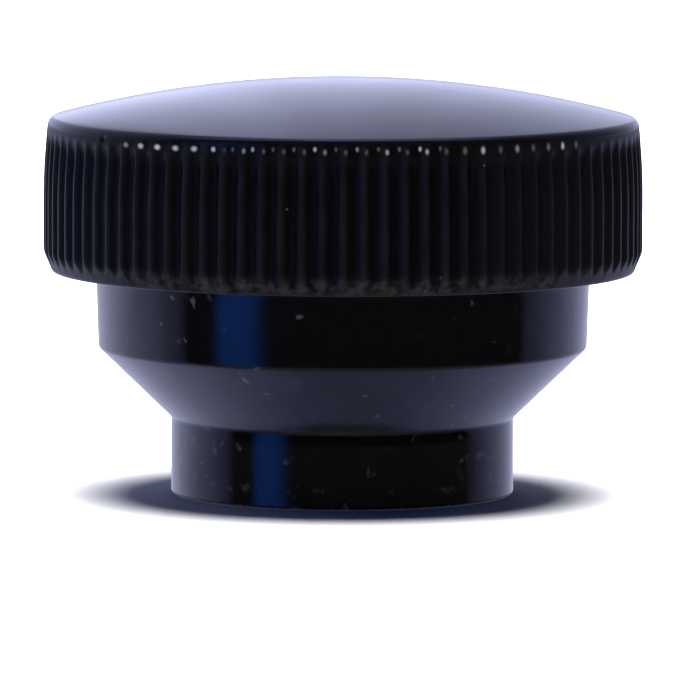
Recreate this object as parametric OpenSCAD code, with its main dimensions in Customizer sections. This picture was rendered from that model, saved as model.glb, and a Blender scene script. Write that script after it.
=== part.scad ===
// Knurled knob: a domed, finely fluted head on a boss, a cone and a neck, moulded
// in one piece around a tapped brass bush that opens in the neck's foot.
// The knob stands on its foot: origin at the centre of the foot, +Z to the dome.

/* [Head] */
// Diameter of the head over the ridges of its rim
head_d = 35; // [33:0.5:45]
// Height of the rim, from the head's flat underside to where the dome starts
rim_h = 8.9; // [7:0.1:14]
// Rise of the dome above the rim
dome_rise = 2.3; // [1.5:0.05:5]
// Radius that the upper half of the rim is barrelled to
barrel_r = 35; // [25:1:90]
// Radius of the round between rim and dome
shoulder_r = 0.55; // [0.4:0.05:1]
// Height of the bevel under the rim
bevel_h = 1.2; // [0.8:0.1:2]
// Width of the bevel under the rim
bevel_w = 0.5; // [0.3:0.02:0.8]

/* [Flutes] */
// Number of flutes around the rim
flute_count = 92; // [60:1:96]
// Depth of each flute below the rim
flute_depth = 0.35; // [0.2:0.01:0.4]
// Width of the flat floor of each flute
flute_floor_w = 0.22; // [0.1:0.02:0.4]
// Lean of each flute's two walls away from the radius
flute_lean = 45; // [30:1:50]

/* [Boss and neck] */
// Diameter of the boss at its lower edge
boss_d = 28.55; // [25:0.05:31]
// Height of the boss's side
boss_h = 4.45; // [3:0.05:8]
// Lean of the boss's side, which widens upwards
boss_draft = 1.9; // [0:0.1:3]
// Radius of the round between boss and cone
boss_edge_r = 0.4; // [0.2:0.1:1]
// Slope of the cone between neck and boss, from level
cone_angle = 44; // [35:1:55]
// Diameter of the neck
neck_d = 20; // [18:0.5:24]
// Height of the neck
neck_h = 4.45; // [3:0.05:8]
// Bevel that breaks the edge of the foot
foot_bevel = 0.2; // [0.1:0.05:0.4]

/* [Brass bush] */
// Diameter of the bush over its knurled bands
bush_d = 12; // [11:0.5:14]
// Depth of the plain collar and of the groove below the knurled bands
band_step = 0.45; // [0.4:0.05:0.8]
// Length of the plain collar at the bush's mouth
collar_l = 1.5; // [1:0.25:3]
// Width of the groove that keys the bush against pulling out
key_groove_w = 2; // [1:0.25:3]
// Number of notches around the knurled bands
notch_count = 30; // [16:1:36]
// Depth of each notch
notch_depth = 0.3; // [0.2:0.05:0.35]
// Diameter of the tapping drill: 6.8 for an M8 thread
tap_drill_d = 6.8; // [5:0.1:8.5]
// Diameter of the countersink at the mouth
mouth_d = 8.4; // [8.2:0.1:9.5]
// Depth of the drilled hole down to the shoulder of its drill point
hole_depth = 12.5; // [9:0.5:16]
// Thickness of the brass above the drill point
bush_floor = 1.5; // [1:0.25:3]

/* [Hidden] */
$fa = 1;
$fs = 0.1;
phenolic_black = "#17171b";
brass_yellow = "#b8964e";

head_r = head_d / 2;
boss_r = boss_d / 2;
neck_r = neck_d / 2;
cone_h = (boss_r - neck_r) * tan(cone_angle);
boss_z = neck_h + cone_h;
head_z = boss_z + boss_h;
rim_mid_z = head_z + rim_h / 2;
rim_top_z = head_z + rim_h;
crown_z = rim_top_z + dome_rise;

// The barrel and the dome are circles; they meet in a corner that the shoulder rounds off.
barrel_centre = [head_r - barrel_r, rim_mid_z];
corner_r = barrel_centre.x + sqrt(pow(barrel_r, 2) - pow(rim_h / 2, 2));
dome_r = (pow(corner_r, 2) + pow(dome_rise, 2)) / (2 * dome_rise);
dome_centre = [0, crown_z - dome_r];
shoulder_centre = outer_crossing(barrel_centre, barrel_r - shoulder_r, dome_centre, dome_r - shoulder_r);
shoulder_from = bearing(shoulder_centre - barrel_centre);
shoulder_to = bearing(shoulder_centre - dome_centre);

boss_top_r = boss_r + boss_h * tan(boss_draft);
edge_half_turn = (cone_angle - boss_draft) / 2;
edge_bearing = -(cone_angle + boss_draft) / 2;
boss_edge_centre = [boss_r, boss_z] - boss_edge_r / cos(edge_half_turn) * heading(edge_bearing);

bush_r = bush_d / 2;
bush_core_r = bush_r - band_step;
drill_r = tap_drill_d / 2;
drill_point_h = drill_r / tan(59);
mouth_r = mouth_d / 2;
mouth_h = mouth_r - drill_r;
bush_l = hole_depth + drill_point_h + bush_floor;
key_groove_z = (collar_l + bush_l - key_groove_w) / 2;
notch_floor_w = 0.1;
notch_lean = 45;

// Direction of an angle from the +r axis of the section, and the angle of a direction
function heading(angle) = [cos(angle), sin(angle)];
function bearing(v) = atan2(v.y, v.x);

// Where two circles of the section cross, taking the crossing further from the axis
function outer_crossing(c1, r1, c2, r2) =
    let (gap = norm(c2 - c1),
         along = (pow(gap, 2) + pow(r1, 2) - pow(r2, 2)) / (2 * gap),
         across = sqrt(pow(r1, 2) - pow(along, 2)),
         u = (c2 - c1) / gap,
         foot = c1 + along * u,
         left = foot + across * [-u.y, u.x],
         right = foot - across * [-u.y, u.x])
    left.x > right.x ? left : right;

// What a round takes off a corner: the wedge outside its arc, between two bearings
module corner_waste(centre, r, from, to) {
    middle = (from + to) / 2;
    reach = 2 * r;
    translate(centre)
        difference() {
            polygon([[0, 0], reach * heading(from), 1.5 * reach * heading(middle), reach * heading(to)]);
            circle(r = r);
        }
}

module head_section() {
    difference() {
        union() {
            polygon([
                [0, head_z],
                [head_r - bevel_w, head_z],
                [head_r, head_z + bevel_h],
                [head_r, rim_mid_z],
                [0, rim_mid_z]
            ]);
            intersection() {
                translate([0, rim_mid_z])
                    square([head_d, crown_z]);
                translate(barrel_centre)
                    circle(r = barrel_r);
                translate(dome_centre)
                    circle(r = dome_r);
            }
        }
        corner_waste(shoulder_centre, shoulder_r, shoulder_from, shoulder_to);
    }
}

module shank_section() {
    difference() {
        polygon([
            [0, 0],
            [neck_r - foot_bevel, 0],
            [neck_r, foot_bevel],
            [neck_r, neck_h],
            [boss_r, boss_z],
            [boss_top_r, head_z],
            [0, head_z]
        ]);
        corner_waste(boss_edge_centre, boss_edge_r, -cone_angle, -boss_draft);
    }
}

// A cutter for one straight groove in a round side of radius r, standing on z = 0
module groove(r, depth, floor_w, lean, length) {
    clearance = 0.1;
    mouth_w = floor_w + 2 * (depth + clearance) * tan(lean);
    translate([r, 0])
        linear_extrude(length)
            polygon([
                [-depth, -floor_w / 2],
                [clearance, -mouth_w / 2],
                [clearance, mouth_w / 2],
                [-depth, floor_w / 2]
            ]);
}

// The flutes run straight up; each ends by itself in the shoulder and in the bevel.
module flutes() {
    for (i = [0 : flute_count - 1])
        rotate((i + 0.5) * 360 / flute_count)
            translate([0, 0, head_z - 1])
                groove(head_r, flute_depth, flute_floor_w, flute_lean, rim_h + dome_rise + 1);
}

// The bush before it is drilled: its shape is also the cavity that the moulding forms around it.
module bush_blank() {
    difference() {
        rotate_extrude()
            polygon([
                [0, 0],
                [bush_core_r, 0],
                [bush_core_r, collar_l],
                [bush_r, collar_l],
                [bush_r, key_groove_z],
                [bush_core_r, key_groove_z],
                [bush_core_r, key_groove_z + key_groove_w],
                [bush_r, key_groove_z + key_groove_w],
                [bush_r, bush_l],
                [0, bush_l]
            ]);
        for (i = [0 : notch_count - 1])
            rotate((i + 0.5) * 360 / notch_count)
                translate([0, 0, collar_l / 2])
                    groove(bush_r, notch_depth, notch_floor_w, notch_lean, bush_l);
    }
}

module tapped_hole() {
    rotate_extrude()
        polygon([
            [0, -1],
            [mouth_r + 1, -1],
            [drill_r, mouth_h],
            [drill_r, hole_depth],
            [0, hole_depth + drill_point_h]
        ]);
}

module knob_body() {
    color(phenolic_black)
        difference() {
            rotate_extrude()
                union() {
                    head_section();
                    shank_section();
                }
            flutes();
            bush_blank();
        }
}

module threaded_insert() {
    color(brass_yellow)
        difference() {
            bush_blank();
            tapped_hole();
        }
}

knob_body();
threaded_insert();
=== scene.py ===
# A knurled clamping knob: one black phenolic moulding round a tapped brass bush,
# standing on its foot. The sections follow the knob as it is made: the moulding with
# the marks of its making and use, the bush, and then the stage it stands on.
import math
from collections import namedtuple

import bpy
import numpy as np
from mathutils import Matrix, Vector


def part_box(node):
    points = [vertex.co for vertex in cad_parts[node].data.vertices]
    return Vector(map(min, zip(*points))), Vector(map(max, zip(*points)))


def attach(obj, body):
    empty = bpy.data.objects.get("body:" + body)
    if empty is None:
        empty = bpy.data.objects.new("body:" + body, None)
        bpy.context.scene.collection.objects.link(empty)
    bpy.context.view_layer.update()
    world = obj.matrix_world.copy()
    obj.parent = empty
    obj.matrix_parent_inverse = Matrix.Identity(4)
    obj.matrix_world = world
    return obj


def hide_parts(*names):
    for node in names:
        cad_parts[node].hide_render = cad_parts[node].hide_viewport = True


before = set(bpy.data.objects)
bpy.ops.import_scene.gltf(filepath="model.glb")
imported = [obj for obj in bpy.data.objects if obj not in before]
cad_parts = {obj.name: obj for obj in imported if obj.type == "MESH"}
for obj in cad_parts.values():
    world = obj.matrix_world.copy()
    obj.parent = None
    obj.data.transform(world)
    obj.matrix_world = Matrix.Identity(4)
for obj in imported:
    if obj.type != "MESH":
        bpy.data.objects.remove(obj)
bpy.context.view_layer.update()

# ---------------------------------------------------------------------------
# Moulded body: head, boss, cone and neck in one piece of wood-flour phenolic,
# pressed in a hot two-part mould. The flutes are pressed with it; the face of
# the dome and the boss come out as glossy as the polished steel they cure on.
# ---------------------------------------------------------------------------

MM = 0.001
TURN = 2 * math.pi
_, crown_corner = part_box("knob_body")
_, bush_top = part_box("threaded_insert")
HEAD_R = crown_corner.x / MM
# The crown stays a thousandth of a millimetre inside the solid's box.
CROWN_Z = crown_corner.z / MM - 0.001

# The head: a bevelled, straight, then barrelled rim under a shallow dome.
RIM_H = 8.9
DOME_RISE = 2.3
BARREL_R = 35.0
SHOULDER_R = 0.55
BEVEL_H = 1.2
BEVEL_W = 0.5
FLUTES = 92
FLUTE_LEAN = math.radians(44)

# The shank below it, from the foot up.
NECK_R = 10.0
NECK_H = 4.45
CONE_W = 4.275
CONE_SLOPE = math.radians(44)
BOSS_H = 4.45
BOSS_DRAFT = math.radians(1.9)

# The small rounds that every corner of the mould has, from the foot up.
FOOT_ROUND = 0.14
NECK_ROUND = 0.45
BOSS_ROUND = 0.4
UNDERCUT_ROUND = 0.25
UNDERSIDE_ROUND = 0.12
BEVEL_ROUND = 1.2

# The cavity that the brass bush fills: plain collar, knurled band, groove, band.
BUSH_R = 6.0
BUSH_CORE_R = 5.55
BUSH_L = bush_top.z / MM
COLLAR_L = 1.5
KEY_GROOVE_W = 2.0
KEY_GROOVE_Z = (COLLAR_L + BUSH_L - KEY_GROOVE_W) / 2
KEY_GROOVE_TOP = KEY_GROOVE_Z + KEY_GROOVE_W
NOTCHES = 30
BUSH_NOTCHES = {
    "Notches": float(NOTCHES),
    "Bush Radius": BUSH_R * MM,
    "Notch Lean": math.radians(45),
    "Notch Crest Round": 0.5 * MM,
    "Notch Root Round": 0.05 * MM,
}

# Columns of the turned mesh. A ring may keep only each 2nd, 4th ... 64th column.
COLUMNS_PER_FLUTE = 16

CONE_H = CONE_W * math.tan(CONE_SLOPE)
BOSS_R = NECK_R + CONE_W
BOSS_TOP_R = BOSS_R + BOSS_H * math.tan(BOSS_DRAFT)
BOSS_Z = NECK_H + CONE_H
RIM_TOP_Z = CROWN_Z - DOME_RISE
HEAD_Z = RIM_TOP_Z - RIM_H
RIM_MID_Z = HEAD_Z + RIM_H / 2


def arc(centre, radius, start, end, count):
    """Points on a circle of the section, between two angles in degrees, both ends included."""
    angles = np.radians(np.linspace(start, end, count))
    return [(centre[0] + radius * math.cos(a), centre[1] + radius * math.sin(a)) for a in angles]


def blend_corner(before, corner, after, radius, count):
    """Points that round a corner of the section with a true arc between its two sides."""
    into = np.subtract(before, corner) / math.dist(before, corner)
    away = np.subtract(after, corner) / math.dist(after, corner)
    half = math.acos(float(np.clip(into @ away, -1, 1))) / 2
    middle = (into + away) / np.linalg.norm(into + away)
    centre = np.array(corner) + middle * radius / math.sin(half)
    first = np.array(corner) + into * radius / math.tan(half) - centre
    last = np.array(corner) + away * radius / math.tan(half) - centre
    start = math.atan2(first[1], first[0])
    turn_by = (math.atan2(last[1], last[0]) - start + math.pi) % TURN - math.pi
    angles = start + turn_by * np.linspace(0, 1, count)
    return [tuple(centre + radius * np.array([math.cos(a), math.sin(a)])) for a in angles]


def between(first, last, count):
    """Points spaced evenly between two ends, both left out."""
    shares = [i / (count + 1) for i in range(1, count + 1)]
    return [tuple(np.array(first) * (1 - t) + np.array(last) * t) for t in shares]


# The barrel and the dome are arcs; the shoulder is an arc that rolls inside both.
barrel_centre = (HEAD_R - BARREL_R, RIM_MID_Z)
corner_r = barrel_centre[0] + math.sqrt(BARREL_R**2 - (RIM_H / 2) ** 2)
DOME_R = (corner_r**2 + DOME_RISE**2) / (2 * DOME_RISE)
dome_centre = (0.0, CROWN_Z - DOME_R)
to_barrel = BARREL_R - SHOULDER_R
to_dome = DOME_R - SHOULDER_R
apart = math.dist(barrel_centre, dome_centre)
along = (apart**2 + to_barrel**2 - to_dome**2) / (2 * apart)
across = math.sqrt(to_barrel**2 - along**2)
lean = math.atan2(dome_centre[1] - barrel_centre[1], dome_centre[0] - barrel_centre[0])
shoulder_centre = (
    barrel_centre[0] + along * math.cos(lean) - across * math.sin(lean),
    barrel_centre[1] + along * math.sin(lean) + across * math.cos(lean),
)
barrel_end = math.degrees(
    math.atan2(shoulder_centre[1] - barrel_centre[1], shoulder_centre[0] - barrel_centre[0])
)
dome_start = math.degrees(math.atan2(shoulder_centre[1] - dome_centre[1], shoulder_centre[0]))


def on_barrel(below_top):
    """The barrel's point at a depth below the top of the rim."""
    z = RIM_TOP_Z - below_top
    return (barrel_centre[0] + math.sqrt(BARREL_R**2 - (z - RIM_MID_Z) ** 2), z)


# A run is some points of the section, in millimetres, whose rings keep every nth column. Its
# rings may be notched, or threaded to a share of the thread's height.
Run = namedtuple("Run", "points column_step notched threaded", defaults=(0.0, 0.0))

# The section runs from the cavity's ceiling down to the foot and up the outside to the crown.
cavity = [
    Run([(0, BUSH_L)], 64),
    Run([(2.0, BUSH_L)], 16),
    Run([(BUSH_R, BUSH_L), (BUSH_R, KEY_GROOVE_TOP)], 2, notched=1.0),
    Run([(BUSH_CORE_R, KEY_GROOVE_TOP), (BUSH_CORE_R, KEY_GROOVE_Z)], 4),
    Run([(BUSH_R, KEY_GROOVE_Z), (BUSH_R, COLLAR_L)], 2, notched=1.0),
    Run([(BUSH_CORE_R, COLLAR_L), (BUSH_CORE_R, 0)], 4),
]
foot_edge = blend_corner((0, 0), (NECK_R, 0), (NECK_R, NECK_H), FOOT_ROUND, 5)
neck_corner = blend_corner((NECK_R, 0), (NECK_R, NECK_H), (BOSS_R, BOSS_Z), NECK_ROUND, 6)
boss_edge = blend_corner((NECK_R, NECK_H), (BOSS_R, BOSS_Z), (BOSS_TOP_R, HEAD_Z), BOSS_ROUND, 9)
head_corner = blend_corner(
    (BOSS_R, BOSS_Z), (BOSS_TOP_R, HEAD_Z), (HEAD_R, HEAD_Z), UNDERCUT_ROUND, 5
)
# Close rows above the foot leave room for a broken corner there.
FOOT_ROWS = (0.22, 0.3, 0.38, 0.46, 0.54, 0.62, 0.7)
shank = [
    Run([(8.2, 0)], 4),
    Run(foot_edge, 1),
    Run([(NECK_R, z) for z in FOOT_ROWS], 1),
    Run(between((NECK_R, FOOT_ROWS[-1]), neck_corner[0], 4), 4),
    Run(neck_corner, 4),
    Run(between(neck_corner[-1], boss_edge[0], 6), 4),
    Run(boss_edge, 4),
    Run(between(boss_edge[-1], head_corner[0], 5), 4),
    Run(head_corner, 4),
    Run([(15.6, HEAD_Z)], 4),
]
bevel_foot = (HEAD_R - BEVEL_W, HEAD_Z)
bevel_top = (HEAD_R, HEAD_Z + BEVEL_H)
underside_edge = blend_corner((BOSS_R, HEAD_Z), bevel_foot, bevel_top, UNDERSIDE_ROUND, 5)
rim_edge = blend_corner(bevel_foot, bevel_top, (HEAD_R, RIM_MID_Z), BEVEL_ROUND, 6)
shoulder = arc(shoulder_centre, SHOULDER_R, barrel_end, dome_start, 15)
# Rows on the barrel, by their depth below its top. They are closest where the flutes run out.
BARREL_ROWS = (3.6, 2.9, 2.3, 1.9, 1.65, 1.45, 1.3, 1.16)
RUNOUT_ROWS = (1.04, 0.94, 0.85, 0.77, 0.7, 0.63, 0.56, 0.48)
rim = [
    Run(underside_edge, 2),
    Run(between(underside_edge[-1], rim_edge[0], 9), 1),
    Run(rim_edge, 1),
    Run([(HEAD_R, HEAD_Z + 2 * BEVEL_H), (HEAD_R, RIM_MID_Z)], 1),
    Run([on_barrel(depth) for depth in BARREL_ROWS + RUNOUT_ROWS], 1),
    Run(shoulder[:5], 2),
    Run(shoulder[5:], 4),
]
# The dome's rows, by their angle on its arc. They thin out towards the crown.
dome = [
    Run(arc(dome_centre, DOME_R, dome_start, dome_start + 0.6, 3)[1:], 4),
    Run(arc(dome_centre, DOME_R, dome_start + 1.2, 81, 6), 8),
    Run(arc(dome_centre, DOME_R, 82.2, 86.5, 4), 16),
    Run(arc(dome_centre, DOME_R, 87.5, 89, 2), 64),
    Run([(0, CROWN_Z)], 64),
]


def section_line(name, runs):
    """The half section as a mesh of loose points that carry what their rings need to know."""
    mesh = bpy.data.meshes.new(name)
    mesh.from_pydata([(r * MM, 0, z * MM) for run in runs for r, z in run.points], [], [])
    for label in ("column_step", "notched", "threaded"):
        values = [float(getattr(run, label)) for run in runs for _ in run.points]
        mesh.attributes.new(label, "FLOAT", "POINT").data.foreach_set("value", values)
    line = bpy.data.objects.new(name, mesh)
    bpy.context.scene.collection.objects.link(line)
    return line


# The kinds of node that come up most below, and the smooth kind of ramp.
MATH = "ShaderNodeMath"
RAMP = "ShaderNodeMapRange"
VECTOR = "ShaderNodeVectorMath"
SMOOTH = "SMOOTHSTEP"


def add(tree, kind, inputs=(), **settings):
    """Adds a node with its settings. Its inputs are listed in order, or by name or number, and
    each is a value, a socket, or a node, which stands for its first output in use."""
    made = tree.nodes.new(kind)
    for name, value in settings.items():
        setattr(made, name, value)
    for key, value in inputs.items() if isinstance(inputs, dict) else enumerate(inputs):
        if isinstance(key, int):
            socket = made.inputs[key]
        else:
            socket = next(s for s in made.inputs if s.name == key and s.enabled)
        if isinstance(value, bpy.types.Node):
            value = next(s for s in value.outputs if s.enabled)
        if isinstance(value, bpy.types.NodeSocket):
            tree.links.new(value, socket)
        else:
            socket.default_value = value
    return made


def new_tree(name, inputs, outputs):
    """A geometry tree with named inputs and outputs, its input sockets, and its end node."""
    tree = bpy.data.node_groups.new(name, "GeometryNodeTree")
    for label, kind in inputs:
        tree.interface.new_socket(label, in_out="INPUT", socket_type=kind)
    for label, kind in outputs:
        tree.interface.new_socket(label, in_out="OUTPUT", socket_type=kind)
    given = tree.nodes.new("NodeGroupInput").outputs
    return tree, given, tree.nodes.new("NodeGroupOutput")


# How far from the axis a ring may reach at an angle, when the round is pressed into waves by
# straight grooves: a rounded crest, a leaning wall, a rounded root, and back up. The
# moulding's flutes and the bush's notches are both this shape.
GROOVE_SIZES = ("Angle", "Count", "Radius", "Wall Lean", "Crest Round", "Root Round", "Growth")
groove, given, result = new_tree(
    "Straight groove",
    [(label, "NodeSocketFloat") for label in GROOVE_SIZES],
    [("Reach", "NodeSocketFloat")],
)
turns = add(groove, MATH, (given["Angle"], TURN), operation="DIVIDE")
turns = add(groove, MATH, (turns, given["Count"]), operation="MULTIPLY")
turns = add(groove, MATH, (turns,), operation="FRACT")
from_root = add(groove, MATH, (turns, 0.5), operation="SUBTRACT")
from_root = add(groove, MATH, (from_root,), operation="ABSOLUTE")
from_crest = add(groove, MATH, (0.5, from_root), operation="SUBTRACT")
round_about = add(groove, MATH, (given["Radius"], TURN), operation="MULTIPLY")
pitch = add(groove, MATH, (round_about, given["Count"]), operation="DIVIDE")
beside_crest = add(groove, MATH, (from_crest, pitch), operation="MULTIPLY")
half_pitch = add(groove, MATH, (pitch, 0.5), operation="MULTIPLY")
lean_sine = add(groove, MATH, (given["Wall Lean"],), operation="SINE")
lean_slope = add(groove, MATH, (given["Wall Lean"],), operation="TANGENT")
crest_end = add(groove, MATH, (given["Crest Round"], lean_sine), operation="MULTIPLY")
root_half = add(groove, MATH, (given["Root Round"], lean_sine), operation="MULTIPLY")
root_start = add(groove, MATH, (half_pitch, root_half), operation="SUBTRACT")


def arc_drop(round_r, offset):
    """How far a round has fallen at an offset from its top."""
    radius_square = add(groove, MATH, (round_r, round_r), operation="MULTIPLY")
    offset_square = add(groove, MATH, (offset, offset), operation="MULTIPLY")
    left = add(groove, MATH, (radius_square, offset_square), operation="SUBTRACT")
    height = add(groove, MATH, (left,), operation="SQRT")
    return add(groove, MATH, (round_r, height), operation="SUBTRACT")


on_crest = add(groove, MATH, (beside_crest, crest_end), operation="MINIMUM")
crest_drop = arc_drop(given["Crest Round"], on_crest)
on_wall = add(groove, MATH, (beside_crest, crest_end), operation="MAXIMUM")
on_wall = add(groove, MATH, (on_wall, root_start), operation="MINIMUM")
on_wall = add(groove, MATH, (on_wall, crest_end), operation="SUBTRACT")
wall_drop = add(groove, MATH, (on_wall, lean_slope), operation="MULTIPLY")
to_root = add(groove, MATH, (half_pitch, beside_crest), operation="SUBTRACT")
to_root = add(groove, MATH, (to_root, root_half), operation="MINIMUM")
root_height = arc_drop(given["Root Round"], root_half)
root_drop = add(
    groove, MATH, (root_height, arc_drop(given["Root Round"], to_root)), operation="SUBTRACT"
)
drop = add(groove, MATH, (crest_drop, wall_drop), operation="ADD")
drop = add(groove, MATH, (drop, root_drop), operation="ADD")
drop = add(groove, MATH, (drop, given["Growth"]), operation="MULTIPLY")
reach = add(groove, MATH, (given["Radius"], drop), operation="SUBTRACT")
groove.links.new(reach.outputs[0], result.inputs["Reach"])

# The turning tree: one ring of the mesh for each point of the section, pressed in by the
# grooves, with columns crowded at the flutes' lips and thinned out where a ring is plain.
TURNING_SIZES = (
    "Columns per Flute",
    "Column Crowding",
    "Flutes",
    "Head Radius",
    "Crest Lift",
    "Flute Lean",
    "Flute Crest Round",
    "Flute Root Round",
    "Flute Lip Softness",
    "Flute End Softness",
    "Barrel From",
    "Runout From",
    "Runout To",
    "Runout Unevenness",
    "Flute Unevenness",
    "Notches",
    "Bush Radius",
    "Notch Lean",
    "Notch Crest Round",
    "Notch Root Round",
    "Thread Pitch",
    "Thread Bore Radius",
    "Thread Height",
)
turning, given, result = new_tree(
    "Turned and fluted",
    [("Section", "NodeSocketGeometry")]
    + [(label, "NodeSocketFloat") for label in TURNING_SIZES]
    + [("Seed", "NodeSocketInt"), ("Material", "NodeSocketMaterial")],
    [("Geometry", "NodeSocketGeometry")],
)
rings = add(turning, "GeometryNodeAttributeDomainSize", {"Geometry": given["Section"]})
columns = add(turning, MATH, (given["Flutes"], given["Columns per Flute"]), operation="MULTIPLY")
columns = add(turning, MATH, (columns, 1), operation="ADD")
grid = add(turning, "GeometryNodeMeshGrid", {"Vertices X": columns, "Vertices Y": rings})
index = add(turning, "GeometryNodeInputIndex")
column = add(turning, MATH, (index, rings), operation="DIVIDE")
column = add(turning, MATH, (column,), operation="FLOOR")
passed = add(turning, MATH, (column, rings), operation="MULTIPLY")
ring = add(turning, MATH, (index, passed), operation="SUBTRACT")

# What the section says at this ring: its place, and the three values that its points carry.
place = add(
    turning,
    "GeometryNodeSampleIndex",
    {
        "Geometry": given["Section"],
        "Value": add(turning, "GeometryNodeInputPosition"),
        "Index": ring,
    },
    data_type="FLOAT_VECTOR",
)
place = add(turning, "ShaderNodeSeparateXYZ", (place,)).outputs
of_ring = {}
for label in ("column_step", "notched", "threaded"):
    named = add(turning, "GeometryNodeInputNamedAttribute", {"Name": label}, data_type="FLOAT")
    of_ring[label] = add(
        turning,
        "GeometryNodeSampleIndex",
        {"Geometry": given["Section"], "Value": named, "Index": ring},
        data_type="FLOAT",
    )

kept = add(turning, MATH, (column, of_ring["column_step"]), operation="DIVIDE")
kept = add(turning, MATH, (kept,), operation="ROUND")
kept = add(turning, MATH, (kept, of_ring["column_step"]), operation="MULTIPLY")
in_flutes = add(turning, MATH, (kept, given["Columns per Flute"]), operation="DIVIDE")
flute = add(turning, MATH, (in_flutes,), operation="FLOOR")
side = add(turning, MATH, (in_flutes, flute), operation="SUBTRACT")
side = add(turning, MATH, (side, 2), operation="MULTIPLY")
side = add(turning, MATH, (side, 1), operation="SUBTRACT")
bunch = add(turning, MATH, (side, TURN), operation="MULTIPLY")
bunch = add(turning, MATH, (bunch,), operation="SINE")
share = add(turning, MATH, (given["Column Crowding"], TURN), operation="DIVIDE")
side = add(turning, MATH, (bunch, share, side), operation="MULTIPLY_ADD")
side = add(turning, MATH, (side, 0.5), operation="MULTIPLY")
middle_turns = add(turning, MATH, (flute, 0.5), operation="ADD")
angle = add(turning, MATH, (middle_turns, side), operation="ADD")
angle = add(turning, MATH, (angle, TURN), operation="MULTIPLY")
angle = add(turning, MATH, (angle, given["Flutes"]), operation="DIVIDE")

# Above the middle of the rim the crests follow the barrel, and just under the shoulder each
# groove runs out, some a little sooner than others. No two grooves are quite as deep.
end_seed = add(turning, MATH, (given["Seed"], 7), operation="ADD")
uneven, uneven_end = (
    add(
        turning,
        "FunctionNodeRandomValue",
        {"Min": -1.0, "Max": 1.0, "ID": flute, "Seed": seed},
        data_type="FLOAT",
    )
    for seed in (given["Seed"], end_seed)
)
growth = add(turning, MATH, (uneven, given["Flute Unevenness"], 1.0), operation="MULTIPLY_ADD")
end_shift = add(turning, MATH, (uneven_end, given["Runout Unevenness"]), operation="MULTIPLY")
end_height = add(turning, MATH, (place["Z"], end_shift), operation="ADD")
runout = add(
    turning,
    RAMP,
    (end_height, given["Runout From"], given["Runout To"], 1.0, 0.0),
    interpolation_type=SMOOTH,
)
growth = add(turning, MATH, (growth, runout), operation="MULTIPLY")
is_above = add(turning, MATH, (place["Z"], given["Barrel From"]), operation="GREATER_THAN")
OUTER_SHARE = 0.95
nearly_out = add(turning, MATH, (given["Head Radius"], OUTER_SHARE), operation="MULTIPLY")
is_outside = add(turning, MATH, (place["X"], nearly_out), operation="GREATER_THAN")
on_the_barrel = add(turning, MATH, (is_above, is_outside), operation="MULTIPLY")
up_the_barrel = (place["Z"], given["Barrel From"], given["Runout From"])
lift = add(turning, RAMP, (*up_the_barrel, given["Crest Lift"], 0.0))
softening = add(
    turning, RAMP, (*up_the_barrel, given["Flute Lip Softness"], given["Flute End Softness"])
)
barrel_reach = add(turning, MATH, (place["X"], lift), operation="ADD")
past_head = add(turning, MATH, (barrel_reach, given["Head Radius"]), operation="SUBTRACT")
fluted_radius = add(
    turning, MATH, (past_head, on_the_barrel, given["Head Radius"]), operation="MULTIPLY_ADD"
)
fluted_round = add(
    turning,
    "GeometryNodeGroup",
    {
        "Angle": angle,
        "Count": given["Flutes"],
        "Radius": fluted_radius,
        "Wall Lean": given["Flute Lean"],
        "Crest Round": given["Flute Crest Round"],
        "Root Round": given["Flute Root Round"],
        "Growth": growth,
    },
    node_tree=groove,
)
notched_round = add(
    turning,
    "GeometryNodeGroup",
    {
        "Angle": angle,
        "Count": given["Notches"],
        "Radius": given["Bush Radius"],
        "Wall Lean": given["Notch Lean"],
        "Crest Round": given["Notch Crest Round"],
        "Root Round": given["Notch Root Round"],
        "Growth": 1.0,
    },
    node_tree=groove,
)
lip = add(turning, MATH, (softening, runout), operation="MULTIPLY")
radius = add(turning, MATH, (place["X"], fluted_round, lip), operation="SMOOTH_MIN")
notched = add(turning, MATH, (radius, notched_round), operation="MINIMUM")
gap = add(turning, MATH, (notched, radius), operation="SUBTRACT")
radius = add(turning, MATH, (gap, of_ring["notched"], radius), operation="MULTIPLY_ADD")

# The thread is a helical rise of the bore, 60 degrees between its flanks.
turned = add(turning, MATH, (angle, TURN), operation="DIVIDE")
climbed = add(turning, MATH, (place["Z"], given["Thread Pitch"]), operation="DIVIDE")
phase = add(turning, MATH, (climbed, turned), operation="SUBTRACT")
phase = add(turning, MATH, (phase,), operation="FRACT")
to_crest = add(turning, MATH, (phase, 0.5), operation="SUBTRACT")
to_crest = add(turning, MATH, (to_crest,), operation="ABSOLUTE")
to_crest = add(turning, MATH, (to_crest, given["Thread Pitch"]), operation="MULTIPLY")
CREST_FLAT_SHARE = 0.17
flat = add(turning, MATH, (given["Thread Pitch"], CREST_FLAT_SHARE), operation="MULTIPLY")
climb = add(turning, MATH, (to_crest, flat), operation="SUBTRACT")
climb = add(turning, MATH, (climb, math.sqrt(3)), operation="MULTIPLY")
climb = add(turning, MATH, (climb, 0), operation="MAXIMUM")
climb = add(turning, MATH, (climb, given["Thread Height"]), operation="MINIMUM")
root = add(
    turning,
    MATH,
    (climb, of_ring["threaded"], given["Thread Bore Radius"]),
    operation="MULTIPLY_ADD",
)
has_thread = add(turning, MATH, (of_ring["threaded"], 0), operation="GREATER_THAN")
root = add(turning, MATH, (root, has_thread), operation="MULTIPLY")
radius = add(turning, MATH, (radius, root), operation="MAXIMUM")

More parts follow.
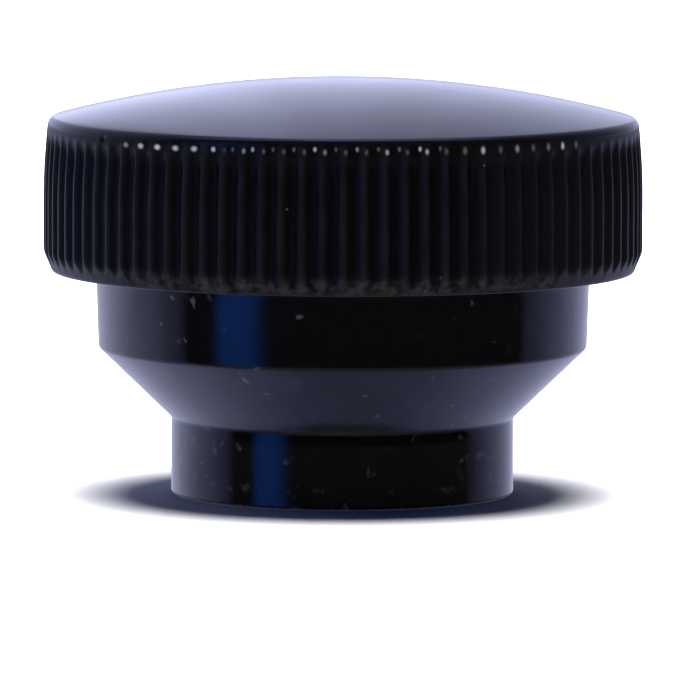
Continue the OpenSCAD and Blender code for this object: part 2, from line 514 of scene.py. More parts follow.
cosine = add(turning, MATH, (angle,), operation="COSINE")
sine = add(turning, MATH, (angle,), operation="SINE")
where_x = add(turning, MATH, (radius, cosine), operation="MULTIPLY")
where_y = add(turning, MATH, (radius, sine), operation="MULTIPLY")
where = add(turning, "ShaderNodeCombineXYZ", (where_x, where_y, place["Z"]))
made = add(turning, "GeometryNodeSetPosition", {"Geometry": grid, "Position": where})
made = add(turning, "GeometryNodeMergeByDistance", {"Geometry": made, "Distance": 1e-6})
made = add(turning, "GeometryNodeSetShadeSmooth", {"Geometry": made})
made = add(turning, "GeometryNodeRealizeInstances", {"Geometry": made})
made = add(
    turning, "GeometryNodeSetMaterial", {"Geometry": made, "Material": given["Material"]}
)
turning.links.new(made.outputs[0], result.inputs["Geometry"])


SHARP_FROM = math.radians(40)


def turn(name, runs, material, sizes):
    """Turns a section with the tree above, and returns the result as a plain mesh object."""
    line = section_line(name + "_section", runs)
    work = line.modifiers.new("turning", "NODES")
    work.node_group = turning
    sockets = [item for item in turning.interface.items_tree if item.in_out == "INPUT"]
    identifiers = {item.name: item.identifier for item in sockets}
    for label, value in sizes.items():
        work[identifiers[label]] = value
    work[identifiers["Material"]] = material
    evaluated = line.evaluated_get(bpy.context.evaluated_depsgraph_get())
    mesh = bpy.data.meshes.new_from_object(evaluated)
    mesh.name = name
    bpy.data.objects.remove(line)
    piece = bpy.data.objects.new(name, mesh)
    bpy.context.scene.collection.objects.link(piece)
    mesh.set_sharp_from_angle(angle=SHARP_FROM)
    return piece


def linear(hex_colour):
    """An sRGB hex colour as the linear RGBA that the shaders work in."""
    parts = [int(hex_colour[i : i + 2], 16) / 255 for i in (1, 3, 5)]
    return tuple(c / 12.92 if c <= 0.04045 else ((c + 0.055) / 1.055) ** 2.4 for c in parts) + (1.0,)


def new_material(name):
    """An empty material, and its node tree."""
    material = bpy.data.materials.new(name)
    material.use_nodes = True
    material.node_tree.nodes.clear()
    return material, material.node_tree


# Black phenolic off a polished mould: a deep, nearly colourless black that shows little but
# what it mirrors. Phenolic has a higher index than most plastics.
PHENOLIC_BLACK = "#070708"
# The grooves' roots carry painted shade; the crests' grey is partly wear and partly painted light.
GROOVE_SHADE_BLACK = "#050506"
CREST_WEAR_AND_LIGHT_GREY = "#0f0e18"
# A pale grey for dust and wear, also used for the painted highlights at the flutes' ends.
DUST_WEAR_AND_GLINT_GREY = "#d6d3d8"
CORE_GREY = "#2a2a2c"
PHENOLIC_IOR = 1.6
POLISHED, GRIMED = 0.08, 0.42
GRIMED_MIRROR = 0.17
PLAIN_FILM = (1, 1, 1, 1)
GREASY_FILM = (1.0, 0.94, 0.84, 1)
# The sizes of its patterns, in millimetres.
STREAK_SIZE = 1.6
DUST_SPACING = 0.8
SMUDGE_SIZE = 0.8
PATCH_SIZE = 0.5
CLOUD_SIZE = 2.8
PEEL_SIZE, PEEL_HEIGHT = 2.2, 0.004
# A knock has broken a small corner out of the foot, in front. It shows the dull grey core.
NICK_AT = math.radians(-89)
NICK_HALF_W = 0.29
NICK_TAPER = 0.5
NICK_DEPTH = 0.12
NICK_BLEND = 0.2
NICK_FROM_R, NICK_TO_R = 9.5, 10.2

phenolic, tree = new_material("gloss_moulded_phenolic")
coords = add(tree, "ShaderNodeTexCoord").outputs["Object"]
spot = add(tree, "ShaderNodeSeparateXYZ", (coords,)).outputs
flat_spot = add(tree, VECTOR, (coords, (1, 1, 0)), operation="MULTIPLY")
from_axis = add(tree, VECTOR, (flat_spot,), operation="LENGTH")
# Where a spot is: around the axis, and how far it is from the front, in degrees.
around = add(tree, MATH, (spot["Y"], spot["X"]), operation="ARCTAN2")
from_front = add(tree, MATH, (around, 180 / math.pi, 90.0), operation="MULTIPLY_ADD")

# The grooves and the rim's edges have lost their gloss to handling and to grime.
RIM_FROM_R = 17.0
EDGE_BLEND = 0.1
head_foot = ((HEAD_Z - EDGE_BLEND) * MM, (HEAD_Z + EDGE_BLEND) * MM)
rim_start = ((RIM_FROM_R - EDGE_BLEND) * MM, (RIM_FROM_R + EDGE_BLEND) * MM)
above_bevel = add(tree, RAMP, (spot["Z"], *head_foot))
on_rim = add(tree, RAMP, (from_axis, *rim_start))
fluted = add(tree, MATH, (above_bevel, on_rim), operation="MULTIPLY")
under_shoulder = add(
    tree,
    RAMP,
    (spot["Z"], (RIM_TOP_Z - 0.1) * MM, (RIM_TOP_Z - 0.5) * MM),
    interpolation_type=SMOOTH,
)
grimy = add(tree, MATH, (fluted, under_shoulder), operation="MULTIPLY")

# Under the shoulder, on the front, the ends of the flutes glint: one soft pale spot on the wall
# of each groove's end and one on each crest's end. They are drawn here in the colour. From left
# to right they climb from one wall over the crest to the other, and the outer ones are larger.
FLUTES_PER_RADIAN = FLUTES / TURN
WALL_SEED, CREST_SEED = 11, 3
CREST_GLINT_DROP = 0.645
height = add(tree, MATH, (spot["Z"], 1 / MM, -RIM_TOP_Z), operation="MULTIPLY_ADD")
flattened = add(tree, RAMP, (from_front, -30.0, -22.0, 1.25, 0.7), interpolation_type=SMOOTH)


def end_glints(phase, drop_mm, size_mm, least, most, seed):
    """A soft spot on every pitch at a depth below the rim's top, of uneven strength."""
    pitches = add(tree, MATH, (around, FLUTES_PER_RADIAN, phase), operation="MULTIPLY_ADD")
    nearest = add(tree, MATH, (pitches,), operation="ROUND")
    sideways = add(tree, MATH, (pitches, nearest), operation="SUBTRACT")
    sideways = add(tree, MATH, (sideways, HEAD_R / FLUTES_PER_RADIAN), operation="MULTIPLY")
    up = add(tree, MATH, (height, drop_mm), operation="ADD")
    up = add(tree, MATH, (up, flattened), operation="MULTIPLY")
    square = add(tree, MATH, (up, up), operation="MULTIPLY")
    square = add(tree, MATH, (sideways, sideways, square), operation="MULTIPLY_ADD")
    away = add(tree, MATH, (square,), operation="SQRT")
    away = add(tree, MATH, (away, size_mm), operation="DIVIDE")
    draw = add(tree, MATH, (nearest, seed), operation="ADD")
    luck = add(tree, "ShaderNodeTexWhiteNoise", {"W": draw}, noise_dimensions="1D")
    luck = add(tree, MATH, (luck, luck), operation="MULTIPLY")
    strength = add(tree, RAMP, (luck, 0.0, 1.0, least, most), interpolation_type=SMOOTH)
    glow = add(tree, RAMP, (away, 1.0, 0.0), interpolation_type=SMOOTH)
    return add(tree, MATH, (glow, strength), operation="MULTIPLY")


# Each list is what a glint's phase, drop, size and strengths go through from the left to the
# front, or from the front to the right: two angles from the front, and a level at each.
wall_phase = add(tree, MATH, (from_front, -0.005, 0.34), operation="MULTIPLY_ADD")
left_shift = add(tree, RAMP, (from_front, -24.0, -46.0, 0.0, 0.22), interpolation_type=SMOOTH)
wall_phase = add(tree, MATH, (wall_phase, left_shift), operation="ADD")
wall_drop, wall_size, wall_least, wall_most, crest_phase, crest_size = (
    add(tree, RAMP, (from_front, *levels), interpolation_type=SMOOTH)
    for levels in (
        (-37.0, 0.0, 0.66, 0.475),
        (-30.0, -22.0, 0.29, 0.15),
        (-30.0, -22.0, 0.4, 0.06),
        (-30.0, -22.0, 0.75, 0.4),
        (5.0, 48.0, -0.12, 0.1),
        (15.0, 24.0, 0.17, 0.22),
    )
)
wall_glints = end_glints(wall_phase, wall_drop, wall_size, wall_least, wall_most, WALL_SEED)
crest_glints = end_glints(crest_phase, CREST_GLINT_DROP, crest_size, 0.06, 0.4, CREST_SEED)
# Each kind fades out at two angles from the front.
for start, full in ((21.0, 15.0), (-48.0, -44.0)):
    fade = add(tree, RAMP, (from_front, start, full), interpolation_type=SMOOTH)
    wall_glints = add(tree, MATH, (wall_glints, fade), operation="MULTIPLY")
for start, full in ((-26.0, -19.0), (54.0, 46.0)):
    fade = add(tree, RAMP, (from_front, start, full), interpolation_type=SMOOTH)
    crest_glints = add(tree, MATH, (crest_glints, fade), operation="MULTIPLY")
glints = add(tree, MATH, (wall_glints, crest_glints), operation="MAXIMUM")
glints = add(tree, MATH, (glints, on_rim), operation="MULTIPLY")

# The crests are a lighter grey, partly rubbed wear and partly painted light, with less painted light
# on the right; the grooves' roots are darker with painted shade.
pitches = add(tree, MATH, (around, FLUTES_PER_RADIAN), operation="MULTIPLY")
nearest = add(tree, MATH, (pitches,), operation="ROUND")
in_pitch = add(tree, MATH, (pitches, nearest), operation="SUBTRACT")
in_pitch = add(tree, MATH, (in_pitch,), operation="ABSOLUTE")
crest_light_share = add(tree, RAMP, (in_pitch, 0.33, 0.04), interpolation_type=SMOOTH)
streaks = add(
    tree,
    "ShaderNodeTexNoise",
    {"Vector": coords, "Scale": 1 / (STREAK_SIZE * MM), "Detail": 3.0, "Roughness": 0.6},
)
streaks = add(tree, RAMP, (streaks, 0.3, 0.7, 0.45, 1.0), interpolation_type=SMOOTH)
crest_light_share = add(tree, MATH, (crest_light_share, streaks), operation="MULTIPLY")
on_right = add(tree, RAMP, (from_front, 20.0, 32.0), interpolation_type=SMOOTH)
not_behind = add(tree, RAMP, (from_front, 100.0, 70.0), interpolation_type=SMOOTH)
contrast = add(tree, MATH, (on_right, not_behind), operation="MULTIPLY")
contrast = add(tree, MATH, (contrast, -0.7, 1.0), operation="MULTIPLY_ADD")
MEAN_TONE = 0.4
crest_light_share = add(tree, MATH, (crest_light_share, MEAN_TONE), operation="SUBTRACT")
crest_light_share = add(tree, MATH, (crest_light_share, contrast, MEAN_TONE), operation="MULTIPLY_ADD")
rim_wear_light_and_shade = add(
    tree,
    "ShaderNodeMix",
    {"Factor": crest_light_share, "A": linear(GROOVE_SHADE_BLACK), "B": linear(CREST_WEAR_AND_LIGHT_GREY)},
    data_type="RGBA",
)

# Light dust: sparse specks, thicker on the lower parts and along the rim's lower edge.
cells = add(tree, "ShaderNodeTexVoronoi", {"Vector": coords, "Scale": 1 / (DUST_SPACING * MM)})
lottery = add(tree, "ShaderNodeSeparateColor", {"Color": cells.outputs["Color"]}).outputs
speck_size = add(tree, MATH, (lottery["Green"], 0.09, 0.04), operation="MULTIPLY_ADD")
in_speck = add(tree, MATH, (cells.outputs["Distance"], speck_size), operation="DIVIDE")
specks = add(tree, RAMP, (in_speck, 1.15, 0.35), interpolation_type=SMOOTH)
rarity = add(tree, RAMP, (spot["Z"], (HEAD_Z + 1.6) * MM, (HEAD_Z + 0.4) * MM, 0.975, 0.84))
is_drawn = add(tree, MATH, (lottery["Red"], rarity), operation="GREATER_THAN")
specks = add(tree, MATH, (specks, is_drawn), operation="MULTIPLY")
brightness = add(tree, MATH, (lottery["Blue"], 0.16, 0.03), operation="MULTIPLY_ADD")
specks = add(tree, MATH, (specks, brightness), operation="MULTIPLY")

# Soft grey smudges have dried on in a few places on the boss, the cone and the neck.
places = add(
    tree,
    "ShaderNodeTexNoise",
    {"Vector": coords, "Scale": 1 / (SMUDGE_SIZE * MM), "Detail": 2.0},
)
thicker = add(
    tree,
    RAMP,
    (spot["Z"], 1.5 * NECK_H * MM, 0.2 * NECK_H * MM, 0.0, 0.07),
    interpolation_type=SMOOTH,
)
places = add(tree, MATH, (places, thicker), operation="ADD")
smudges = add(tree, RAMP, (places, 0.66, 0.8, 0.0, 0.05), interpolation_type=SMOOTH)
below_head = add(
    tree, RAMP, (spot["Z"], HEAD_Z * MM, (HEAD_Z - 0.3) * MM), interpolation_type=SMOOTH
)
smudges = add(tree, MATH, (smudges, below_head), operation="MULTIPLY")
dirt = add(tree, MATH, (specks, smudges), operation="MAXIMUM")

# The rim's lower edge and the foot's edge are rubbed in broken greyish patches.
patchy = add(
    tree,
    "ShaderNodeTexNoise",
    {"Vector": coords, "Scale": 1 / (PATCH_SIZE * MM), "Detail": 3.0, "Roughness": 0.65},
)
edge_up = add(
    tree,
    RAMP,
    (spot["Z"], (HEAD_Z + 1.3) * MM, (HEAD_Z + 0.5) * MM),
    interpolation_type=SMOOTH,
)
rim_rubbed = add(tree, RAMP, (patchy, 0.4, 0.7))
rim_rubbed = add(tree, MATH, (rim_rubbed, edge_up), operation="MULTIPLY")
rim_rubbed = add(tree, MATH, (rim_rubbed, fluted), operation="MULTIPLY")
foot_rubbed = add(tree, RAMP, (patchy, 0.5, 0.62), interpolation_type=SMOOTH)
near_foot = add(tree, RAMP, (spot["Z"], 0.32 * MM, 0.1 * MM), interpolation_type=SMOOTH)
on_edge = add(
    tree, RAMP, (from_axis, 9.6 * MM, 9.8 * MM, 0.0, 6.0), interpolation_type=SMOOTH
)
foot_rubbed = add(tree, MATH, (foot_rubbed, near_foot), operation="MULTIPLY")
foot_rubbed = add(tree, MATH, (foot_rubbed, on_edge), operation="MULTIPLY")
rubbed = add(tree, MATH, (rim_rubbed, foot_rubbed), operation="MAXIMUM")
RUBBED_TONE = 0.02
rubbed = add(tree, MATH, (rubbed, RUBBED_TONE), operation="MULTIPLY")

# The broken corner narrows upwards to a point.
beside_nick = add(tree, MATH, (around, NICK_AT), operation="SUBTRACT")
beside_nick = add(tree, MATH, (beside_nick,), operation="ABSOLUTE")
beside_nick = add(tree, MATH, (beside_nick, NECK_R), operation="MULTIPLY")
nick_edge = add(
    tree, MATH, (spot["Z"], -NICK_TAPER / MM, NICK_HALF_W), operation="MULTIPLY_ADD"
)
in_nick = add(tree, MATH, (beside_nick, nick_edge), operation="LESS_THAN")
at_edge = add(tree, MATH, (from_axis, NICK_FROM_R * MM), operation="GREATER_THAN")
in_nick = add(tree, MATH, (in_nick, at_edge), operation="MULTIPLY")

# Dust, rubbed patches and the painted highlights at the flutes' ends all take the same pale grey.
dust_wear_and_glints = add(tree, MATH, (dirt, rubbed), operation="MAXIMUM")
dust_wear_and_glints = add(tree, MATH, (dust_wear_and_glints, glints), operation="MAXIMUM")
# The rim's tone brings painted light on the crests and painted shade in the grooves.
skin = linear(PHENOLIC_BLACK)
for share, over in (
    (grimy, rim_wear_light_and_shade),
    (dust_wear_and_glints, linear(DUST_WEAR_AND_GLINT_GREY)),
    (in_nick, linear(CORE_GREY)),
):
    skin = add(
        tree, "ShaderNodeMix", {"Factor": share, "A": skin, "B": over}, data_type="RGBA"
    )
foot_worn = add(tree, RAMP, (spot["Z"], 0.2 * MM, 0.14 * MM), interpolation_type=SMOOTH)
outer_foot = add(tree, RAMP, (from_axis, 9.7 * MM, 9.8 * MM), interpolation_type=SMOOTH)
foot_worn = add(tree, MATH, (foot_worn, outer_foot), operation="MULTIPLY")
grimy = add(tree, MATH, (grimy, foot_worn), operation="MAXIMUM")
hazy = add(tree, MATH, (dust_wear_and_glints, in_nick), operation="MAXIMUM")
hazy = add(tree, MATH, (grimy, hazy), operation="MAXIMUM")
roughness = add(tree, RAMP, {"Value": hazy, "To Min": POLISHED, "To Max": GRIMED})
# Fingers have left the gloss a little clouded, in patches of two or three millimetres.
clouds = add(
    tree,
    "ShaderNodeTexNoise",
    {"Vector": coords, "Scale": 1 / (CLOUD_SIZE * MM), "Detail": 3.0},
)
glossy = add(tree, RAMP, (clouds, 0.3, 0.7, 0.45, 0.54), interpolation_type=SMOOTH)
mirror = add(tree, RAMP, {"Value": grimy, "To Min": glossy, "To Max": GRIMED_MIRROR})
film = add(
    tree, "ShaderNodeMix", {"Factor": grimy, "A": PLAIN_FILM, "B": GREASY_FILM}, data_type="RGBA"
)
peel = add(
    tree, "ShaderNodeTexNoise", {"Vector": coords, "Scale": 1 / (PEEL_SIZE * MM), "Detail": 1.0}
)
peel = add(
    tree, "ShaderNodeBump", {"Height": peel, "Distance": PEEL_HEIGHT * MM, "Strength": 1.0}
)
shader = add(
    tree,
    "ShaderNodeBsdfPrincipled",
    {
        "Base Color": skin,
        "Roughness": roughness,
        "IOR": PHENOLIC_IOR,
        "Specular IOR Level": mirror,
        "Specular Tint": film,
        "Normal": peel,
    },
)
add(tree, "ShaderNodeOutputMaterial", {"Surface": shader})

# The flutes are cut from a round a little larger than the head, so that the rim's own side
# is what rounds their crests off.
CREST_LIFT = 0.06
body = turn(
    "moulded_body",
    cavity + shank + rim + dome,
    phenolic,
    {
        **BUSH_NOTCHES,
        "Columns per Flute": float(COLUMNS_PER_FLUTE),
        "Column Crowding": -0.35,
        "Flutes": float(FLUTES),
        "Head Radius": (HEAD_R + CREST_LIFT) * MM,
        "Crest Lift": CREST_LIFT * MM,
        "Flute Lean": FLUTE_LEAN,
        "Flute Crest Round": 0.17 * MM,
        "Flute Root Round": 0.46 * MM,
        "Flute Lip Softness": 0.12 * MM,
        "Flute End Softness": 0.08 * MM,
        "Barrel From": RIM_MID_Z * MM,
        "Runout From": (RIM_TOP_Z - 1.9) * MM,
        "Runout To": (RIM_TOP_Z - 0.48) * MM,
        "Runout Unevenness": 0.05 * MM,
        "Flute Unevenness": 0.06,
        "Thread Pitch": 1.0,
        "Seed": 4,
    },
)

# The broken corner at the foot and a pit in the shoulder on the left go into the mesh itself.
PIT_AT = math.radians(53)
PIT_R = 17.3
PIT_BELOW_RIM = 0.45
PIT_SIZE, PIT_DEPTH = 0.17, 0.12
shape = np.empty(len(body.data.vertices) * 3)
body.data.vertices.foreach_get("co", shape)
shape = shape.reshape(-1, 3)
azimuths = np.arctan2(shape[:, 1], shape[:, 0])
radii = np.hypot(shape[:, 0], shape[:, 1])
at_edge = (radii > NICK_FROM_R * MM) * (radii < NICK_TO_R * MM)
past_edge = NICK_HALF_W - NICK_TAPER * shape[:, 2] / MM - np.abs(azimuths - NICK_AT) * NECK_R
broken = np.clip(past_edge / NICK_BLEND, 0, 1) * NICK_DEPTH * MM * at_edge
pit_at = (-math.sin(PIT_AT) * PIT_R, -math.cos(PIT_AT) * PIT_R, RIM_TOP_Z - PIT_BELOW_RIM)
from_pit = (shape - np.array(pit_at) * MM) / (PIT_SIZE * MM)
pit = np.exp(-(from_pit**2).sum(axis=1)) * PIT_DEPTH * MM
inward = 1 - (broken + pit) / np.maximum(radii, 1e-6)
shape[:, 0] *= inward
shape[:, 1] *= inward
shape[:, 2] -= pit * 0.5
body.data.vertices.foreach_set("co", shape.ravel())
body.data.update()
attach(body, "root")
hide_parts("knob_body")

# ---------------------------------------------------------------------------
# Bush: turned from brass bar, drilled and tapped M8, its two knurled bands and
# the groove between them locked in the moulding. Only its foot and its bore
# are open to the eye, in the middle of the knob's foot.
# ---------------------------------------------------------------------------

BORE_R = 3.4
MOUTH_R = 4.2
HOLE_Z = 12.5
DRILL_POINT_H = BORE_R / math.tan(math.radians(59))
THREAD_PITCH = 1.25
THREAD_HEIGHT = 0.6
MOUTH_ROUND = 0.04
# The heights of the thread's rows: its start past the mouth, its last full turn and its end.
THREAD_FROM, THREAD_FULL_TO, THREAD_TO = 0.84, 10.6, 11.5
ROW_H = 0.1
mouth_rows = [(MOUTH_R - z, z) for z in (0.2, 0.28, 0.36, 0.44, 0.52, 0.6, 0.68, 0.76)]
thread_rows = [(BORE_R, z) for z in np.arange(THREAD_FROM, THREAD_FULL_TO, ROW_H)]
drill_point = [
    (BORE_R * share, HOLE_Z + DRILL_POINT_H * (1 - share)) for share in (0, 0.3, 0.65, 1.0)
]
bush_runs = [
    Run(drill_point[:2], 8),
    Run(drill_point[2:], 2),
    Run([(BORE_R, z) for z in (12.1, 11.7)], 2),
]
# The tap runs out over its last turn, so the thread grows shallower towards the drill point.
runout_rows = np.arange(THREAD_TO, THREAD_FULL_TO, -ROW_H)
for z, share in zip(runout_rows, np.linspace(0.05, 0.95, 10)):
    bush_runs.append(Run([(BORE_R, z)], 2, threaded=share))
mouth_edge = blend_corner(mouth_rows[0], (MOUTH_R, 0), (BUSH_CORE_R, 0), MOUTH_ROUND, 3)
bush_runs += [
    Run(thread_rows[::-1], 2, threaded=1.0),
    Run(mouth_rows[::-1], 2, threaded=1.0),
    Run(between(mouth_rows[0], (MOUTH_R, 0), 1), 2),
    Run(mouth_edge, 2),
    Run([(4.7, 0), (5.2, 0), (BUSH_CORE_R, 0), (BUSH_CORE_R, COLLAR_L)], 2),
    Run([(BUSH_R, COLLAR_L), (BUSH_R, KEY_GROOVE_Z)], 1, notched=1.0),
    Run([(BUSH_CORE_R, KEY_GROOVE_Z), (BUSH_CORE_R, KEY_GROOVE_TOP)], 2),
    Run([(BUSH_R, KEY_GROOVE_TOP), (BUSH_R, BUSH_L)], 1, notched=1.0),
    Run([(3.0, BUSH_L), (0, BUSH_L)], 8),
]

# Free-cutting brass as the turning tool leaves it, browned a little by age.
BRIGHT_BRASS = "#c7a557"
BROWNED_BRASS = "#8a6a38"
TOOL_FEED, TOOL_MARK_HEIGHT = 0.11, 0.0015
STAIN_SIZE = 2.4
brass, tree = new_material("turned_brass")
coords = add(tree, "ShaderNodeTexCoord").outputs["Object"]
flat_spot = add(tree, VECTOR, (coords, (1, 1, 0)), operation="MULTIPLY")
from_axis = add(tree, VECTOR, (flat_spot,), operation="LENGTH")
tool_turns = add(tree, MATH, (from_axis, TURN / (TOOL_FEED * MM)), operation="MULTIPLY")
tool_turns = add(tree, MATH, (tool_turns,), operation="SINE")
tool_marks = add(
    tree,
    "ShaderNodeBump",
    {"Height": tool_turns, "Distance": TOOL_MARK_HEIGHT * MM, "Strength": 1.0},
)
stains = add(
    tree,
    "ShaderNodeTexNoise",
    {"Vector": coords, "Scale": 1 / (STAIN_SIZE * MM), "Detail": 4.0, "Roughness": 0.6},
)
tarnish = add(tree, RAMP, (stains, 0.42, 0.72))
metal = add(
    tree,
    "ShaderNodeMix",
    {"Factor": tarnish, "A": linear(BRIGHT_BRASS), "B": linear(BROWNED_BRASS)},
    data_type="RGBA",
)
roughness = add(tree, RAMP, {"Value": tarnish, "To Min": 0.22, "To Max": 0.42})
shader = add(
    tree,
    "ShaderNodeBsdfPrincipled",
    {"Base Color": metal, "Metallic": 1.0, "Roughness": roughness, "Normal": tool_marks},
)
add(tree, "ShaderNodeOutputMaterial", {"Surface": shader})

# The bush has no flutes. Their round is set well outside it, and 8 columns go to each notch.
bush = turn(
    "tapped_bush",
    bush_runs,
    brass,
    {
        **BUSH_NOTCHES,
        "Columns per Flute": 8.0,
        "Flutes": float(NOTCHES),
        "Head Radius": 20 * MM,
        "Flute Lean": FLUTE_LEAN,
        "Flute Crest Round": 0.2 * MM,
        "Flute Root Round": 0.2 * MM,
        "Barrel From": 1.0,
        "Runout From": 1.0,
        "Runout To": 2.0,
        "Thread Pitch": THREAD_PITCH * MM,
        "Thread Bore Radius": BORE_R * MM,
        "Thread Height": THREAD_HEIGHT * MM,
    },
)
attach(bush, "root")
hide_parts("threaded_insert")

# ---------------------------------------------------------------------------
# The stage: a pale floor, soft light from above for it, and surroundings that
# the gloss mirrors: white card behind the knob, and a dark room with one blue
# window in front of it.
# ---------------------------------------------------------------------------

scene = bpy.context.scene
scene.view_settings.view_transform = "Standard"

# The floor is white paper from above and see-through from below. The gloss doesn't mirror it.
FLOOR_HALF = 900 * MM
PAPER_WHITE = "#f2f2f4"
corners = [(-1, -1), (1, -1), (1, 1), (-1, 1)]
floor_mesh = bpy.data.meshes.new("floor")
floor_mesh.from_pydata(
    [(x * FLOOR_HALF, y * FLOOR_HALF, 0) for x, y in corners], [], [(0, 1, 2, 3)]
)
floor = bpy.data.objects.new("floor", floor_mesh)
scene.collection.objects.link(floor)
floor.visible_glossy = False
paper, tree = new_material("white_paper")
sheet = add(tree, "ShaderNodeBsdfDiffuse", {"Color": linear(PAPER_WHITE)})
below = add(tree, "ShaderNodeBsdfTransparent")
is_back = add(tree, "ShaderNodeNewGeometry").outputs["Backfacing"]
either = add(tree, "ShaderNodeMixShader", (is_back, sheet, below))
add(tree, "ShaderNodeOutputMaterial", {"Surface": either})
floor_mesh.materials.append(paper)

# A wide round lamp hangs above the knob and a little behind it. The gloss doesn't mirror it.
LAMP_W, LAMP_WATTS = 700, 30
LAMP_BEHIND, LAMP_UP = 100, 900
lamp = bpy.data.lights.new("overhead", "AREA")
lamp.shape = "DISK"
lamp.size = LAMP_W * MM
lamp.energy = LAMP_WATTS
overhead = bpy.data.objects.new("overhead", lamp)
overhead.location = (0, LAMP_BEHIND * MM, LAMP_UP * MM)
overhead.visible_glossy = False
scene.collection.objects.link(overhead)

# The surroundings, by the direction they are seen in: x to the right, y away behind the knob
# and z up. Each patch of light has a level between 0 and 1 and a colour.
CARD_FACING = (1.0, 1.05, 1.52, 1)
CARD_SIDE = (1.0, 1.06, 1.95, 1)
WINDOW_BLUE = (0.02, 0.18, 0.98)
LOW_GREY = (0.16, 0.16, 0.18)
CEILING_BLUE = (0.25, 0.3, 0.95)
# The ends of the soft edges of the window and of the low light, in degrees.
WINDOW_SIDES = (-66, -56, -48, -33)
WINDOW_SILL_TO_TOP = (-35, -20, 25, 40)
LOW_LIGHT_TOP = (-45, -15)
world = bpy.data.worlds.new("surroundings")
scene.world = world
world.use_nodes = True
tree = world.node_tree
tree.nodes.clear()
toward = add(tree, "ShaderNodeTexCoord").outputs["Generated"]
x, y, z = add(tree, "ShaderNodeSeparateXYZ", (toward,)).outputs


def band(value, start, full, fade, end):
    """1 between full and fade, 0 outside start and end, smooth in between."""
    up = add(tree, RAMP, (value, start, full), interpolation_type=SMOOTH)
    down = add(tree, RAMP, (value, fade, end, 1.0, 0.0), interpolation_type=SMOOTH)
    return add(tree, MATH, (up, down), operation="MULTIPLY")


# White card: brightest straight behind the knob, falling off towards its left and right edges.
CARD = [(-0.09, 0.0), (0.0, 0.12), (0.5, 0.42), (0.8, 0.64), (0.95, 0.95), (1.0, 1.0)]
behind = add(tree, MATH, (x, -0.12, y), operation="MULTIPLY_ADD")
span = add(tree, MATH, (behind, 0.5, 0.5), operation="MULTIPLY_ADD")
card = add(tree, "ShaderNodeValToRGB", (span,))
ramp = card.color_ramp
while len(ramp.elements) < len(CARD):
    ramp.elements.new(0.5)
for element, (where_at, level) in zip(ramp.elements, CARD):
    element.position = where_at * 0.5 + 0.5
    element.color = (level, level, level, 1)
side_gain = add(tree, MATH, (x, -0.15, 1.05), operation="MULTIPLY_ADD")
card_level = add(tree, MATH, (card, side_gain), operation="MULTIPLY")

# Above eye level the card is narrower and uneven, and it darkens upwards and to the right;
# below eye level the knob stands before its own shadow.
aside = add(tree, MATH, (x, 0.02), operation="SUBTRACT")
aside = add(tree, MATH, (aside,), operation="ABSOLUTE")
narrow = add(tree, RAMP, (aside, 0.03, 0.15, 0.0, 0.38))
fold_right = add(tree, MATH, (band(x, 0.0, 0.035, 0.06, 0.11), 0.1), operation="MULTIPLY")
fold_left = add(tree, MATH, (band(x, -0.125, -0.09, -0.055, -0.01), 0.25), operation="MULTIPLY")
ripple = add(tree, MATH, (fold_right, fold_left), operation="SUBTRACT")
upward = add(tree, RAMP, (z, 0.1, 0.6, 0.0, 0.22))
right_end = add(tree, RAMP, (x, 0.35, 0.75, 0.0, 0.22))
high_loss = add(tree, MATH, (narrow, ripple), operation="ADD")
end_loss = add(tree, MATH, (upward, right_end), operation="ADD")
high_loss = add(tree, MATH, (high_loss, end_loss), operation="ADD")
above_eye = add(tree, RAMP, (z, 0.0, 0.08))
below_eye = add(tree, MATH, (1.0, above_eye), operation="SUBTRACT")
shade = add(tree, RAMP, (behind, 0.78, 0.99, 0.0, 0.4))
low_loss = add(tree, MATH, (shade, below_eye), operation="MULTIPLY")
loss = add(tree, MATH, (high_loss, above_eye, low_loss), operation="MULTIPLY_ADD")
left_over = add(tree, MATH, (1.0, loss), operation="SUBTRACT")
card_level = add(tree, MATH, (card_level, left_over), operation="MULTIPLY")
tint_share = add(tree, RAMP, (behind, 0.2, 0.9))
card_tint = add(
    tree,
    "ShaderNodeMix",
    {"Factor": tint_share, "A": CARD_SIDE, "B": CARD_FACING},
    data_type="RGBA",
)

# The window: a soft-edged patch on the left of the dark room, about eye level.
to_front = add(tree, MATH, (y, -1), operation="MULTIPLY")
azimuth = add(tree, MATH, (x, to_front), operation="ARCTAN2")
pane = band(azimuth, *np.radians(WINDOW_SIDES))
window_height = band(z, *np.sin(np.radians(WINDOW_SILL_TO_TOP)))
window = add(tree, MATH, (pane, window_height), operation="MULTIPLY")

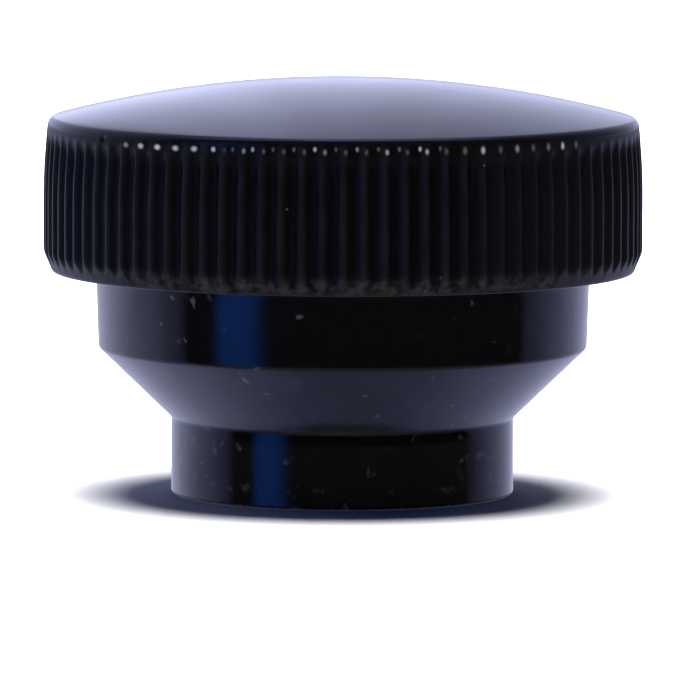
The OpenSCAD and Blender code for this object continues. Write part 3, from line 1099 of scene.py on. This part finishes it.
# The room below eye level in front is a little lighter than the rest of it.
ground = band(z, -1.2, -1.1, *np.sin(np.radians(LOW_LIGHT_TOP)))
strip = add(tree, MATH, (band(z, -0.14, -0.11, -0.08, -0.03), 0.28), operation="MULTIPLY")
low = add(tree, MATH, (ground, strip), operation="MAXIMUM")
in_front = add(tree, RAMP, (behind, 0.0, -0.1))
low = add(tree, MATH, (low, in_front), operation="MULTIPLY")

# Straight overhead hangs a bluish ceiling, which edges the dome with a violet line.
overhead_share = add(tree, RAMP, (z, 0.78, 0.97), interpolation_type=SMOOTH)
not_in_front = add(tree, RAMP, (behind, -0.05, 0.2), interpolation_type=SMOOTH)
ceiling = add(tree, MATH, (overhead_share, not_in_front), operation="MULTIPLY")

total = add(tree, VECTOR, {0: card_tint, 3: card_level}, operation="SCALE")
for colour, level in ((WINDOW_BLUE, window), (LOW_GREY, low), (CEILING_BLUE, ceiling)):
    light = add(tree, VECTOR, {0: colour, 3: level}, operation="SCALE")
    total = add(tree, VECTOR, (total, light), operation="ADD")
# The camera sees plain white behind the knob. The room lights it and shows in its gloss.
is_seen = add(tree, "ShaderNodeLightPath").outputs["Is Camera Ray"]
plain = add(tree, "ShaderNodeBackground", {"Color": (1, 1, 1, 1), "Strength": 1.0})
mirrored = add(tree, "ShaderNodeBackground", {"Color": total, "Strength": 1.0})
sky = add(tree, "ShaderNodeMixShader", (is_seen, mirrored, plain))
add(tree, "ShaderNodeOutputWorld", {"Surface": sky})

# ---------------------------------------------------------------------------
# Camera: a long lens a little above the rim, square to the knob's side. It
# looks down a little, and is rolled by a fifth of a degree.
# ---------------------------------------------------------------------------
FOCAL_LENGTH = 530.3
SENSOR_W = 36
NEAREST_SEEN = 10
EYE_AWAY, EYE_UP = 600, 67.73
LOOK_DOWN, ROLL, PAN = 5.654, -0.2, -0.0214
camera = bpy.data.cameras.new("camera")
camera.lens = FOCAL_LENGTH
camera.sensor_width = SENSOR_W
camera.clip_start = NEAREST_SEEN * MM
eye = bpy.data.objects.new("camera", camera)
eye.location = (0, -EYE_AWAY * MM, EYE_UP * MM)
eye.rotation_euler = np.radians((90 - LOOK_DOWN, ROLL, PAN))
scene.collection.objects.link(eye)
scene.camera = eye
